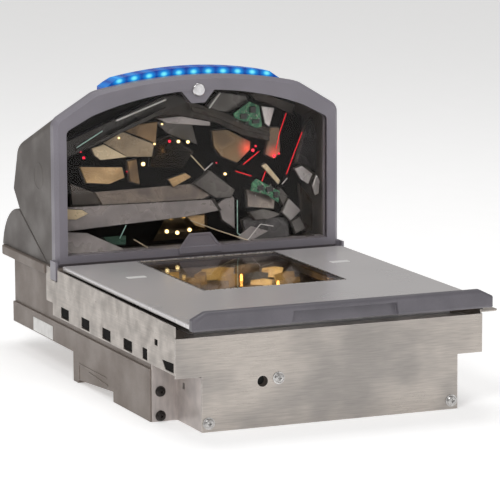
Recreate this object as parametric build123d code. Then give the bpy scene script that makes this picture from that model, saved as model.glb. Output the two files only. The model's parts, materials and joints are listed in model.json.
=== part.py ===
from build123d import *
import os
from math import hypot

# In-counter scanner and scale with a horizontal and a vertical reading window.
# Millimetres. +X is the operator's right, +Y points away from the operator and +Z is up.
# The origin lies on the underside of the lower pan, on the left-right mid plane.

# ---- driving dimensions ----
TOTAL_LENGTH = 506.0          # front lip to rear rim
LIP_FRONT_Y = -253.0
REAR_Y = LIP_FRONT_Y + TOTAL_LENGTH
PLATTER_TOP_Z = 103.0
PLATTER_HALF = 146.0
PLATTER_REAR_Y = 80.0
LIP_THICK = 9.0
LIP_TOP_Z = PLATTER_TOP_Z + 11.0
LIP_BOTTOM_Z = PLATTER_TOP_Z - 6.0

HOUSING_HALF = 148.8          # outer face of the upper housing walls
PAN_HALF = 151.0              # the pan stands proud and leaves a ledge at the seam
HOUSING_FRONT_Y = -161.0
HOUSING_REAR_Y = 213.0
SEAM_Z = 48.0
HOUSING_TOP_Z = 90.7
PAN_STEP_Y = 40.0             # the pan is deep in front of this line
PAN_REAR_FLOOR_Z = 28.0
WALL = 3.0
DECK_Z = 78.0                 # top of the deck that covers the lower optics
RIM_TOP_Z = 99.4

SHEET = 1.4                   # bracket sheet
PANEL_Y = -220.0              # back face of the front panel
PANEL_HALF = 150.2
PANEL_TOP_Z = 86.0
EAR_BOTTOM_Z = 50.5
CORNER_X = 125.3
BRACKET_BOTTOM_Z = 53.0
ACCESS_HOLE = (-67.0, 41.7)   # X and Z of the hole over the calibration button
ACCESS_RADIUS = 5.0
SLOT_ZS = (54.5, 65.0)
SIDE_SLOTS = [(64.0, 22), (7.5, 22), (-48.5, 22), (-104.0, 22), (-147.0, 12)]   # middle Y, width

BEZEL_FRONT_Y = 92.0
BEZEL_DEPTH = 12.0
TOWER_HALF = 148.0
TOWER_FRONT_Y = BEZEL_FRONT_Y + BEZEL_DEPTH + 0.5
TOWER_CROWN_Z = 278.0
TOWER_SLOPE = 0.37            # fall of the tower's top towards the rear
SHELL = 3.0
SIDE_SPLIT = 138.0
LIGHT_HALF = 92.0
TOP_BUTTON_Z = 264.0

WINDOW_HALF = 136.0
SILL_Z = 110.0
WINDOW_CROWN_Z = 263.5

DECK_WINDOW_HALF = 71.0
DECK_WINDOW_FRONT_Y = -96.0
DECK_WINDOW_REAR_Y = 75.0

SPINNER = (0.0, 128.0, 62.0)


# ---- shape helpers ----
def block(xs, ys, zs):
    """A box between two values on each axis."""
    spans = (xs, ys, zs)
    sizes = [abs(high - low) for low, high in spans]
    middles = [(low + high) / 2 for low, high in spans]
    return Pos(*middles) * Box(*sizes)


def across(points, xs):
    """A (Y, Z) outline carried from one X to another."""
    plane = Plane(origin=(min(xs), 0, 0), x_dir=(0, 1, 0), z_dir=(1, 0, 0))
    return extrude(plane * make_face(Polyline(*points, close=True)), amount=abs(xs[1] - xs[0]))


def facing(points, ys):
    """An (X, Z) outline carried from one Y to another."""
    plane = Plane(origin=(0, max(ys), 0), x_dir=(1, 0, 0), z_dir=(0, -1, 0))
    return extrude(plane * make_face(Polyline(*points, close=True)), amount=abs(ys[1] - ys[0]))


def lying(points, zs):
    """An (X, Y) outline carried from one Z to another."""
    return extrude(Pos(0, 0, min(zs)) * make_face(Polyline(*points, close=True)),
                   amount=abs(zs[1] - zs[0]))


def rod_x(centre, radius, length):
    return Pos(*centre) * Rot(0, 90, 0) * Cylinder(radius, length)


def rod_y(centre, radius, length):
    return Pos(*centre) * Rot(90, 0, 0) * Cylinder(radius, length)


def rod_z(centre, radius, length):
    return Pos(*centre) * Cylinder(radius, length)


def flipped(shape):
    """The same piece on the other side of the mid plane."""
    return mirror(shape, about=Plane.YZ)


def joined(shapes):
    """Several separate solids kept together under one name."""
    return Compound(children=[solid for shape in shapes for solid in shape.solids()])


PIECES = {}


def keep(name, shape):
    PIECES[name] = shape


# ---- body of the scanner ----
def lower_pan():
    outer = across([(HOUSING_FRONT_Y, 0), (PAN_STEP_Y, 0), (PAN_STEP_Y, PAN_REAR_FLOOR_Z),
                    (HOUSING_REAR_Y, PAN_REAR_FLOOR_Z), (HOUSING_REAR_Y, SEAM_Z),
                    (HOUSING_FRONT_Y, SEAM_Z)], (-PAN_HALF, PAN_HALF))
    inner_half = PAN_HALF - WALL - 2
    inner = across([(HOUSING_FRONT_Y + WALL, WALL), (PAN_STEP_Y - WALL, WALL),
                    (PAN_STEP_Y - WALL, PAN_REAR_FLOOR_Z + WALL),
                    (HOUSING_REAR_Y - WALL, PAN_REAR_FLOOR_Z + WALL),
                    (HOUSING_REAR_Y - WALL, SEAM_Z), (HOUSING_FRONT_Y + WALL, SEAM_Z)],
                   (-inner_half, inner_half))
    pocket = across([(27, 0), (27, 3), (-67, 9.5), (-67, 0)], (120, PAN_HALF))
    pocket_wall = block((120 - WALL, PAN_HALF), (-67 - WALL, 27 + WALL), (0, 9.5 + WALL))
    inner -= pocket_wall + flipped(pocket_wall)
    pan = outer - inner - pocket - flipped(pocket)
    for x in (-90, 90):
        for y in (-130, 10):
            pan += rod_z((x, y, 7.0), 7.0, 8.0) - rod_z((x, y, 7.0), 2.05, 8.0)
            pan -= rod_z((x, y, 5.0), 2.05, 10.0)
    return pan


def upper_housing():
    half = HOUSING_HALF
    inside = half - WALL
    body = block((-half, half), (HOUSING_FRONT_Y, HOUSING_REAR_Y), (SEAM_Z, HOUSING_TOP_Z))
    channel = block((96, inside), (HOUSING_FRONT_Y + WALL, 76), (SEAM_Z + 5, HOUSING_TOP_Z))
    body -= channel + flipped(channel)
    body -= block((-96, 96), (HOUSING_FRONT_Y + WALL, 76), (DECK_Z, HOUSING_TOP_Z))
    body -= block((-92, 92), (HOUSING_FRONT_Y + WALL, 82), (SEAM_Z, DECK_Z - 4))
    body -= block((-66, 66), (-92, 71), (DECK_Z - 4, DECK_Z))
    body -= block((-inside, inside), (82, HOUSING_REAR_Y - WALL), (SEAM_Z, HOUSING_TOP_Z))
    body -= block((-70, 70), (HOUSING_REAR_Y - WALL, HOUSING_REAR_Y), (54, 84))
    body -= block((-130, 130), (HOUSING_FRONT_Y, HOUSING_FRONT_Y + WALL), (82, HOUSING_TOP_Z))
    for middle, width in SIDE_SLOTS:
        slot = block((inside, half), (middle - width / 2, middle + width / 2), SLOT_ZS)
        body -= slot + flipped(slot)
    return body


def counter_rim():
    """The flange that rests on the counter behind the scanner and carries the tower."""
    rim = block((-HOUSING_HALF, HOUSING_HALF), (84, REAR_Y), (HOUSING_TOP_Z, RIM_TOP_Z))
    rim += block((-152, 152), (117.3, REAR_Y), (HOUSING_TOP_Z, RIM_TOP_Z))
    rim = fillet(rim.edges().filter_by(Axis.Z).group_by(Axis.Y)[-1], 14)
    rim -= block((-140, 140), (96, 204), (HOUSING_TOP_Z, RIM_TOP_Z))
    return rim


def side_bracket():
    """Left-hand slotted bracket sheet, seen from outside as the long light side plate."""
    x_out, x_in = -HOUSING_HALF - SHEET, -HOUSING_HALF
    rear, step, low = 116, 98, 65
    sheet = across([(PANEL_Y, BRACKET_BOTTOM_Z), (step, BRACKET_BOTTOM_Z), (step, low),
                    (rear, low), (rear, 99), (PANEL_Y, 96.6)], (x_out, x_in))
    sheet -= block((x_out, x_in), (84, 101.5), (87, 100))
    for middle, width in SIDE_SLOTS:
        sheet -= block((x_out, x_in), (middle - width / 2, middle + width / 2), SLOT_ZS)
    sheet -= block((x_out, x_in), (-179, -171), (72.5, 78))
    sheet -= across([(-189.6, 62.5), (-197, 54.8), (-217.5, 54.8), (-217.5, 63.6)], (x_out, x_in))
    tab = block((x_in, x_in + 12), (PANEL_Y, PANEL_Y + SHEET), (58, 84.6))
    return sheet + tab


def counter_ear():
    """Tab on the right-hand bracket that screws down to the counter's edge."""
    ear = block((HOUSING_HALF + SHEET, HOUSING_HALF + SHEET + 17.2),
                (PANEL_Y, PANEL_Y + 24), (87, 87 + SHEET))
    ear = chamfer(ear.edges().filter_by(Axis.Z).group_by(Axis.X)[-1], 3)
    return ear - rod_z((HOUSING_HALF + 10, PANEL_Y + 12, 87 + SHEET / 2), 2.6, SHEET)


def front_panel():
    front, back = PANEL_Y - 1.5, PANEL_Y
    outline = [(-PANEL_HALF, PANEL_TOP_Z), (-PANEL_HALF, EAR_BOTTOM_Z), (-CORNER_X, EAR_BOTTOM_Z),
               (-CORNER_X, 0), (CORNER_X, 0), (CORNER_X, EAR_BOTTOM_Z),
               (PANEL_HALF, EAR_BOTTOM_Z), (PANEL_HALF, PANEL_TOP_Z)]
    panel = facing(outline, (front, back))
    panel += block((-136, 136), (front, back + 13), (PANEL_TOP_Z - 1.5, PANEL_TOP_Z))
    panel += block((-118, 118), (front, back + 13), (0, 1.5))
    hole_x, hole_z = ACCESS_HOLE
    panel -= rod_y((hole_x, PANEL_Y - 0.75, hole_z), ACCESS_RADIUS, 1.5)
    for x, z in PANEL_SCREWS:
        panel -= rod_y((x, PANEL_Y - 0.75, z), 2.1, 1.5)
    return panel


PANEL_SCREWS = [(-119.0, 8.0), (119.0, 8.0), (-51.6, 43.5)]


def panel_screw(x, z):
    head = rod_y((x, PANEL_Y - 1.5 - 1.4, z), 4.2, 2.8)
    head = fillet(head.edges().group_by(Axis.Y)[0], 1.2)
    shank = rod_y((x, PANEL_Y + 2.0, z), 2.1, 7.0)
    return head + shank - block((x - 2.4, x + 2.4), (PANEL_Y - 5, PANEL_Y - 3.3), (z - 0.5, z + 0.5))


def corner_bracket():
    """Left-hand angle that ties the front panel to the housing."""
    face = block((-149.5, -CORNER_X), (HOUSING_FRONT_Y - SHEET, HOUSING_FRONT_Y),
                 (0, BRACKET_BOTTOM_Z))
    wing_x = (-CORNER_X, -CORNER_X + SHEET)
    wing = block(wing_x, (PANEL_Y, HOUSING_FRONT_Y), (0, BRACKET_BOTTOM_Z - 4))
    wing -= block(wing_x, (-180, -175), (31, 37))
    foot = block((-CORNER_X, -109), (PANEL_Y, PANEL_Y + SHEET), (2, BRACKET_BOTTOM_Z - 4))
    bracket = face + wing + foot
    bracket -= rod_y((-119, PANEL_Y + 0.7, 8), 2.1, SHEET)
    for z in CORNER_SCREW_ZS:
        bracket -= rod_y((CORNER_SCREW_X, HOUSING_FRONT_Y - SHEET / 2, z), 2.1, SHEET)
    return bracket


CORNER_SCREW_X = -141.5
CORNER_SCREW_ZS = (27.6, 5.2)


def corner_screw(x, z):
    head = rod_y((x, HOUSING_FRONT_Y - SHEET - 1.6, z), 4.6, 3.2)
    head = fillet(head.edges().group_by(Axis.Y)[0], 1.5)
    socket = rod_y((x, HOUSING_FRONT_Y - SHEET - 2.6, z), 1.7, 1.6)
    return head + rod_y((x, HOUSING_FRONT_Y - SHEET / 2, z), 2.1, SHEET) - socket


# ---- platter and scale ----
def platter():
    front = LIP_FRONT_Y + LIP_THICK
    plate = block((-PLATTER_HALF, PLATTER_HALF), (front, PLATTER_REAR_Y),
                  (PLATTER_TOP_Z - 4.5, PLATTER_TOP_Z))
    plate = chamfer(plate.edges().group_by(Axis.Z)[-1], 0.6)
    plate -= block((-PLATTER_HALF + 2, PLATTER_HALF - 2), (front + 2, PLATTER_REAR_Y - 2),
                   (PLATTER_TOP_Z - 4.5, PLATTER_TOP_Z - 3))
    plate -= block((-DECK_WINDOW_HALF - 0.5, DECK_WINDOW_HALF + 0.5),
                   (DECK_WINDOW_FRONT_Y - 0.5, DECK_WINDOW_REAR_Y + 0.5),
                   (PLATTER_TOP_Z - 3, PLATTER_TOP_Z))
    return plate


def platter_lip():
    """Raised front fence with clipped corners and a finger recess."""
    clip_x, clip_z = 133.0, LIP_TOP_Z - 6.5
    lip = facing([(-PLATTER_HALF, LIP_BOTTOM_Z), (PLATTER_HALF, LIP_BOTTOM_Z),
                  (PLATTER_HALF, clip_z), (clip_x, LIP_TOP_Z), (-clip_x, LIP_TOP_Z),
                  (-PLATTER_HALF, clip_z)], (LIP_FRONT_Y, LIP_FRONT_Y + LIP_THICK))
    lip = chamfer(lip.edges().group_by(Axis.Y)[0], 2.0)
    recess = facing([(-52, LIP_BOTTOM_Z), (52, LIP_BOTTOM_Z), (50, LIP_TOP_Z - 5),
                     (-50, LIP_TOP_Z - 5)], (LIP_FRONT_Y, LIP_FRONT_Y + 5.5))
    return lip - recess


def platter_glass():
    return block((-DECK_WINDOW_HALF, DECK_WINDOW_HALF), (DECK_WINDOW_FRONT_Y, DECK_WINDOW_REAR_Y),
                 (PLATTER_TOP_Z - 3, PLATTER_TOP_Z - 0.2))


def glass_carrier():
    """Ring under the platter that holds the glass from below."""
    top = PLATTER_TOP_Z - 3
    ring = block((-DECK_WINDOW_HALF - 5, DECK_WINDOW_HALF + 5),
                 (DECK_WINDOW_FRONT_Y - 5, DECK_WINDOW_REAR_Y + 2), (top - 2.2, top))
    return ring - block((-DECK_WINDOW_HALF + 4, DECK_WINDOW_HALF - 4),
                        (DECK_WINDOW_FRONT_Y + 4, DECK_WINDOW_REAR_Y - 4), (top - 2.2, top))


PAD_PLACES = [(x, y) for x in (-112, 112) for y in (-192, 50)]


def weigh_frame():
    """U-shaped frame that carries the platter and leaves the light path open."""
    frame = lying([(-126, -204), (126, -204), (126, 66), (86, 66), (86, -114), (-86, -114),
                   (-86, 66), (-126, 66)], (84, 94))
    for x in (-60, 0, 60):
        frame -= block((x - 22, x + 22), (-190, -132), (84, 94))
    for side in (-1, 1):
        frame -= block((side * 106 - 9, side * 106 + 9), (-100, -60), (87, 94))
        frame -= block((side * 106 - 9, side * 106 + 9), (-20, 30), (87, 94))
        frame += block((side * 112 - 9, side * 112 + 9), (-60, -30), (78.8, 84))
    return frame


def weigh_pad(x, y):
    return rod_z((x, y, 97.0), 8, 6) - rod_z((x, y, 96.6), 3, 5.2)


def load_cell():
    """Left-hand beam cell with its two sensing bores."""
    beam = block((-124, -100), (-60, 60), (57, 75))
    for y in (-8, 14):
        beam -= rod_x((-112, y, 66), 6.5, 24)
    beam -= block((-124, -100), (-8, 14), (64.5, 67.5))
    beam += block((-124, -100), (36, 60), (SEAM_Z + 5, 57))
    beam += rod_z((-112, -45, 76.5), 5, 3)
    return beam


def deck_glass():
    return block((-74, 74), (-100, 74), (DECK_Z, DECK_Z + 3))


# ---- tower ----
def arch(half, bottom, shoulder, corner, crown, radii):
    """A flat outline with straight sides, sloped shoulders and an arched top."""
    corner_x, corner_z = corner
    sides = Polyline((-corner_x, corner_z), (-half, shoulder), (-half, bottom), (half, bottom),
                     (half, shoulder), (corner_x, corner_z))
    top = ThreePointArc((corner_x, corner_z), (0, crown), (-corner_x, corner_z))
    face = make_face(sides + top)
    for height, radius in zip((shoulder, corner_z), radii):
        picked = [v for v in face.vertices() if abs(v.Y - height) < 0.5]
        face = fillet(picked, radius)
    return face


def stand_up(face, y):
    return Plane(origin=(0, y, 0), x_dir=(1, 0, 0), z_dir=(0, -1, 0)) * face


def tower_outline(inset):
    return arch(TOWER_HALF - inset, RIM_TOP_Z, 241 - inset * 0.5, (106 - inset * 0.6, 266.5 - inset),
                TOWER_CROWN_Z - inset, (12, 24))


def window_outline(grow):
    return arch(WINDOW_HALF + grow, SILL_Z - grow, 230.5 + grow * 0.5, (110 + grow * 0.6, 244 + grow),
                WINDOW_CROWN_Z + grow, (6, 14))


HANGER = [(-19, 268), (19, 268), (17, 263), (7, 251), (-7, 251), (-17, 263)]


def tower_bezel():
    front, back = BEZEL_FRONT_Y, BEZEL_FRONT_Y + BEZEL_DEPTH
    bezel = extrude(stand_up(tower_outline(0), back), amount=BEZEL_DEPTH)
    bezel = chamfer(bezel.edges().group_by(Axis.Y)[0], 3.5)
    bezel -= extrude(stand_up(window_outline(0), back), amount=BEZEL_DEPTH)
    bezel += facing(HANGER, (front + 1, back))
    bezel -= rod_y((0, (front + back) / 2, TOP_BUTTON_Z), 6.6, BEZEL_DEPTH + 2)
    shoe = block((145, 151.2), (93.5, 101), (RIM_TOP_Z, 106)) \
        + block((149, 151.2), (86, 101), (88, 106))
    return bezel + shoe + flipped(shoe)


def sill_tab():
    return facing([(-22, 104.5), (22, 104.5), (22, 110), (11, 124), (-11, 124), (-22, 110)],
                  (BEZEL_FRONT_Y - 1.8, BEZEL_FRONT_Y)) \
        - facing([(-18, 111), (18, 111), (10, 122), (-10, 122)],
                 (BEZEL_FRONT_Y - 1.8, BEZEL_FRONT_Y - 1.0))


def tower_glass():
    """Pane pressed into the bezel's opening, cut away round the button hanger."""
    back = BEZEL_FRONT_Y + 6.5
    pane = extrude(stand_up(window_outline(0), back), amount=3.5)
    return pane - facing(HANGER, (BEZEL_FRONT_Y, back))


REAR_EDGE = [(160, 99.4), (217, 160), (205, 195), (184, 256)]


def tower_block(inset):
    """Outer volume of the tower, or the hollow inside it for a positive inset."""
    start = TOWER_FRONT_Y - (1 if inset else 0)
    reach = 130
    flat = stand_up(tower_outline(inset + 0.8), start)
    slanted = hypot(reach, reach * TOWER_SLOPE)
    body = extrude(flat, amount=slanted, dir=Vector(0, 1, -TOWER_SLOPE).normalized())
    rear = [(y - inset * 1.1, z) for y, z in REAR_EDGE]
    side = [(start - 1, RIM_TOP_Z)] + rear + [(start - 1, 300)]
    cutter = across(side, (-TOWER_HALF, TOWER_HALF))
    return body & cutter


def tower_shells():
    hollow = tower_block(0) - tower_block(SHELL)
    middle = hollow & block((-SIDE_SPLIT, SIDE_SPLIT), (90, 260), (90, 300))
    left = hollow & block((-TOWER_HALF, -SIDE_SPLIT), (90, 260), (90, 300))
    left -= across([(117, RIM_TOP_Z), (199.3, 141.8), (260, 141.8), (260, RIM_TOP_Z)],
                   (-TOWER_HALF, -SIDE_SPLIT))
    return middle, left


def rear_lower_cover():
    """Rounded hood below the tower's rear edge."""
    half = TOWER_HALF
    def hood(y_in, drop, width):
        front_foot, front_top = (161.5 + y_in, RIM_TOP_Z), (201.4 + y_in, 141.3 - drop)
        rear_foot = (251 - y_in, RIM_TOP_Z)
        line = Polyline(rear_foot, front_foot, front_top)
        bow = ThreePointArc(front_top, (236 - y_in, 127 - drop), rear_foot)
        plane = Plane(origin=(-width, 0, 0), x_dir=(0, 1, 0), z_dir=(1, 0, 0))
        return extrude(plane * make_face(line + bow), amount=2 * width)
    shell = hood(0, 0, half) - hood(SHELL * 1.4, SHELL, half - SHELL)
    wing = across([(117.9, RIM_TOP_Z), (199.9, 141.4), (201.4, 141.3), (161.5, RIM_TOP_Z)],
                  (-half, -half + SHELL))
    return shell + wing + flipped(wing)


def light_bar():
    """Translucent lens along the tower's crown, hollow above the row of lamps."""
    back_y = 126.0
    end_x = LIGHT_HALF - 12
    sides = Polyline((-end_x, 276.7), (-LIGHT_HALF, 268.5), (-LIGHT_HALF, 255), (LIGHT_HALF, 255),
                     (LIGHT_HALF, 268.5), (end_x, 276.7))
    top = ThreePointArc((end_x, 276.7), (0, 284.6), (-end_x, 276.7))
    bar = extrude(stand_up(make_face(sides + top), back_y), amount=back_y - TOWER_FRONT_Y)
    bar = chamfer(bar.edges().filter_by(GeomType.CIRCLE).group_by(Axis.Y)[-1], 3)
    bar -= tower_block(0)
    return bar - block((-66.5, 66.5), (111.5, 123.5), (255, 277.8))


LED_COUNT = 9
LED_PITCH = 15.4


def led_board():
    return block((-66, 66), (112, 123), (274.6, 275.8))


def led(index):
    x = (index - (LED_COUNT - 1) / 2) * LED_PITCH
    return block((x - 2.5, x + 2.5), (115, 120), (275.8, 277.4))


# ---- buttons ----
def top_button():
    front = BEZEL_FRONT_Y - 1.8
    cap = fillet(rod_y((0, front + 3.5, TOP_BUTTON_Z), 6.5, 7).edges().group_by(Axis.Y)[0], 1.4)
    return cap + rod_y((0, front + 8.2, TOP_BUTTON_Z), 2, 2.4)


def top_switch():
    return block((-4, 4), (BEZEL_FRONT_Y + 9, BEZEL_FRONT_Y + 12),
                 (TOP_BUTTON_Z - 4, TOP_BUTTON_Z + 4))


def calibration_switch():
    x, z = ACCESS_HOLE
    body = block((x - 9, x + 9), (-182, HOUSING_FRONT_Y), (z - 8, z + 8))
    return body - rod_y((x, -176, z), 3.05, 12)


def calibration_button():
    x, z = ACCESS_HOLE
    stem = rod_y((x, -192.5, z), 3.0, 39)
    cap = rod_y((x, -213, z), 4.2, 3)
    return stem + cap


# ---- optics ----
def mirror_plate(width_low, width_high, height, thick, grow=0.0):
    """An upright trapezoid plate centred on its own origin, facing -Y."""
    low, high, rise = width_low / 2 + grow, width_high / 2 + grow, height / 2 + grow
    outline = [(-low, -rise), (low, -rise), (high, rise * 0.6), (high * 0.72, rise),
               (-high * 0.72, rise), (-high, rise * 0.6)]
    return facing(outline, (0, thick))


# name: centre, lower width, upper width, height, turn about Z, tilt about X, floor below
MIRRORS = {
    "mirror_tower_left": ((-98, 140, 172), 62, 50, 62, -38, 8, RIM_TOP_Z),
    "mirror_tower_right": ((98, 140, 172), 62, 50, 62, 38, 8, RIM_TOP_Z),
    "mirror_tower_mid_left": ((-40, 144, 176), 46, 56, 58, -14, -16, RIM_TOP_Z),
    "mirror_tower_mid_right": ((40, 144, 176), 46, 56, 58, 14, -16, RIM_TOP_Z),
    "mirror_tower_low": ((0, 134, 124), 58, 46, 34, 0, 34, RIM_TOP_Z),
    "mirror_deck_left": ((-58, -10, 42), 70, 56, 44, -52, 30, WALL),
    "mirror_deck_right": ((58, -10, 42), 70, 56, 44, 52, 30, WALL),
    "mirror_deck_front": ((0, -82, 42), 92, 74, 52, 180, 40, WALL),
}
MIRROR_THICK = 3.0


def placed_mirror(entry):
    centre, low, high, height, turn, tilt, floor = entry
    place = Pos(*centre) * Rot(0, 0, turn) * Rot(tilt, 0, 0)
    glass = place * mirror_plate(low, high, height, MIRROR_THICK)
    backing = place * Pos(0, MIRROR_THICK, 0) * mirror_plate(low, high, height, 2.0, 1.6)
    anchor = place * Pos(0, MIRROR_THICK + 4.0, 0)
    x, y, z = anchor.position
    post = block((x - 5, x + 5), (y - 3.5, y + 3.5), (floor, z))
    pad = anchor * Box(14, 5, 14)
    return glass, backing + ((post + pad) - place * block((-90, 90), (-60, MIRROR_THICK), (-90, 90)))


def optics_frame():
    """Dark moulded frame behind the upright window."""
    y_span = (BEZEL_FRONT_Y + BEZEL_DEPTH + 5, BEZEL_FRONT_Y + BEZEL_DEPTH + 11)
    left_bar = facing([(-128, 104), (-114, 104), (-4, 248), (-4, 262), (-16, 254)], y_span)
    base = block((-140, 140), y_span, (RIM_TOP_Z, 108))
    shelf = block((-132, 132), (y_span[0], 134), (RIM_TOP_Z, 102)) \
        - block((-60, 60), (y_span[1], 134), (RIM_TOP_Z, 102))
    hub = block((-16, 16), y_span, (236, 258))
    return left_bar + flipped(left_bar) + base + shelf + hub


def cradle_floor():
    """Shelf on the counter rim that carries the tower's mirror posts."""
    shelf = block((-140, 140), (134, 200), (RIM_TOP_Z - 3, RIM_TOP_Z))
    return shelf - block((-30, 30), (160, 200), (RIM_TOP_Z - 3, RIM_TOP_Z))


def polygon_mirror():
    x, y, z = SPINNER
    wheel = Pos(x, y, z) * extrude(RegularPolygon(24, 8), amount=14)
    wheel += rod_z((x, y, z - 2), 7, 4)
    return wheel + rod_z((x, y, z - 9), 2.5, 14) + rod_z((x, y, z + 15.5), 5, 3)


def spinner_motor():
    x, y, z = SPINNER
    can = rod_z((x, y, (z - 4 + 31) / 2), 19, z - 4 - 31)
    base = block((x - 26, x + 26), (y - 22, y + 22), (31, 34))
    return can + base - rod_z((x, y, z - 10), 2.55, 14)


def laser_module(side):
    barrel = rod_x((side * 46, SPINNER[1], 67), 6, 24)
    nose = rod_x((side * 33, SPINNER[1], 67), 3, 4)
    stand = block((side * 46 - 8, side * 46 + 8), (SPINNER[1] - 8, SPINNER[1] + 8), (31, 66))
    return barrel + nose + stand


def imager_board(centre, width, height, turn):
    place = Pos(*centre) * Rot(0, 0, turn)
    board = place * Box(width, 1.6, height)
    shield = place * Pos(0, -3.3, 2) * Box(width * 0.45, 5, height * 0.4)
    lens = place * Pos(width * 0.28, -3.8, -height * 0.25) * Rot(90, 0, 0) * Cylinder(4, 6)
    return board + shield + lens


# ---- electronics ----
def main_board():
    return block((-138, -64), (60, 200), (36, 37.6))


def board_parts():
    top = 37.6
    places = [(-118, 84, 22, 22, 3), (-84, 90, 16, 12, 2.5), (-120, 130, 14, 30, 9),
              (-86, 128, 24, 24, 3.2), (-112, 172, 30, 18, 12), (-78, 170, 10, 20, 6)]
    return joined([block((x - w / 2, x + w / 2), (y - d / 2, y + d / 2), (top, top + h))
                   for x, y, w, d, h in places])


def board_standoffs():
    return joined([rod_z((x, y, 33.5), 3, 5) for x in (-132, -70) for y in (66, 194)])


def speaker():
    basket = rod_z((105, 160, 41), 22, 20)
    return basket - rod_z((105, 160, 49), 18, 6) + rod_z((105, 160, 47.5), 7, 3)


SOCKET_XS = (-52.0, -32.0, -12.0, 8.0)
SOCKET_Z = 69.0
INLET = (40.0, SOCKET_Z)


def io_panel():
    plate = block((-74, 74), (HOUSING_REAR_Y, HOUSING_REAR_Y + 1.5), (51, 87))
    for x in SOCKET_XS:
        plate -= block((x - 8, x + 8), (HOUSING_REAR_Y, HOUSING_REAR_Y + 1.5),
                       (SOCKET_Z - 7, SOCKET_Z + 7))
    plate -= rod_y((INLET[0], HOUSING_REAR_Y + 0.75, INLET[1]), 9, 1.5)
    return plate


def io_socket(x):
    rear = HOUSING_REAR_Y + 2.2
    body = block((x - 8, x + 8), (rear - 20, rear), (SOCKET_Z - 7, SOCKET_Z + 7))
    mouth = block((x - 5.9, x + 5.9), (rear - 13, rear), (SOCKET_Z - 3.6, SOCKET_Z + 4.4))
    latch = block((x - 2, x + 2), (rear - 9, rear), (SOCKET_Z - 5.6, SOCKET_Z - 3.6))
    return body - mouth - latch


def power_inlet():
    x, z = INLET
    rear = HOUSING_REAR_Y + 3.0
    return rod_y((x, rear - 10, z), 9, 20) - rod_y((x, rear - 5.5, z), 7, 11)


def label_plate():
    return block((-PAN_HALF - 0.5, -PAN_HALF), (96, 152), (PAN_REAR_FLOOR_Z + 1, SEAM_Z - 5.5))


# ---- the whole assembly ----
def assemble():
    keep("lower_pan", lower_pan())
    keep("upper_housing", upper_housing())
    keep("counter_rim", counter_rim())
    keep("side_bracket_left", side_bracket())
    keep("side_bracket_right", flipped(side_bracket()) + counter_ear())
    keep("front_panel", front_panel())
    keep("front_panel_screws", joined([panel_screw(x, z) for x, z in PANEL_SCREWS]))
    keep("corner_bracket_left", corner_bracket())
    keep("corner_bracket_right", flipped(corner_bracket()))
    keep("corner_screws", joined([corner_screw(side * CORNER_SCREW_X, z)
                                  for side in (-1, 1) for z in CORNER_SCREW_ZS]))
    keep("label_plate", label_plate())

    keep("platter", platter())
    keep("platter_lip", platter_lip())
    keep("platter_glass", platter_glass())
    keep("glass_carrier", glass_carrier())
    keep("weigh_frame", weigh_frame())
    keep("weigh_pads", joined([weigh_pad(x, y) for x, y in PAD_PLACES]))
    keep("load_cell_left", load_cell())
    keep("load_cell_right", flipped(load_cell()))
    keep("deck_glass", deck_glass())

    middle, left = tower_shells()
    keep("tower_bezel", tower_bezel())
    keep("sill_tab", sill_tab())
    keep("tower_glass", tower_glass())
    keep("tower_rear_cover", middle)
    keep("tower_side_left", left)
    keep("tower_side_right", flipped(left))
    keep("rear_lower_cover", rear_lower_cover())
    keep("light_bar", light_bar())
    keep("led_board", led_board())
    keep("leds", joined([led(index) for index in range(LED_COUNT)]))

    keep("top_button", top_button())
    keep("top_switch", top_switch())
    keep("calibration_button", calibration_button())
    keep("calibration_switch", calibration_switch())

    holders = []
    for name, entry in MIRRORS.items():
        glass, holder = placed_mirror(entry)
        keep(name, glass)
        holders.append(holder)
    keep("mirror_holders", joined(holders))
    keep("optics_frame", optics_frame())
    keep("cradle_floor", cradle_floor())
    keep("polygon_mirror", polygon_mirror())
    keep("spinner_motor", spinner_motor())
    keep("laser_modules", joined([laser_module(-1), laser_module(1)]))
    keep("imager_board_top", imager_board((26, 138, 228), 46, 34, 12))
    keep("imager_board_side", imager_board((110, 126, 214), 34, 30, 30))

    keep("main_board", main_board())
    keep("board_parts", board_parts())
    keep("board_standoffs", board_standoffs())
    keep("speaker", speaker())
    keep("io_panel", io_panel())
    keep("io_sockets", joined([io_socket(x) for x in SOCKET_XS]))
    keep("power_inlet", power_inlet())


assemble()
os.makedirs("parts", exist_ok=True)
for name, shape in PIECES.items():
    export_step(shape, f"parts/{name}.step")
print(len(PIECES), "nodes written")
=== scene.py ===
import json
from math import cos, pi, radians, sin

import bmesh
import bpy
from mathutils import Matrix, Quaternion, Vector


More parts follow.
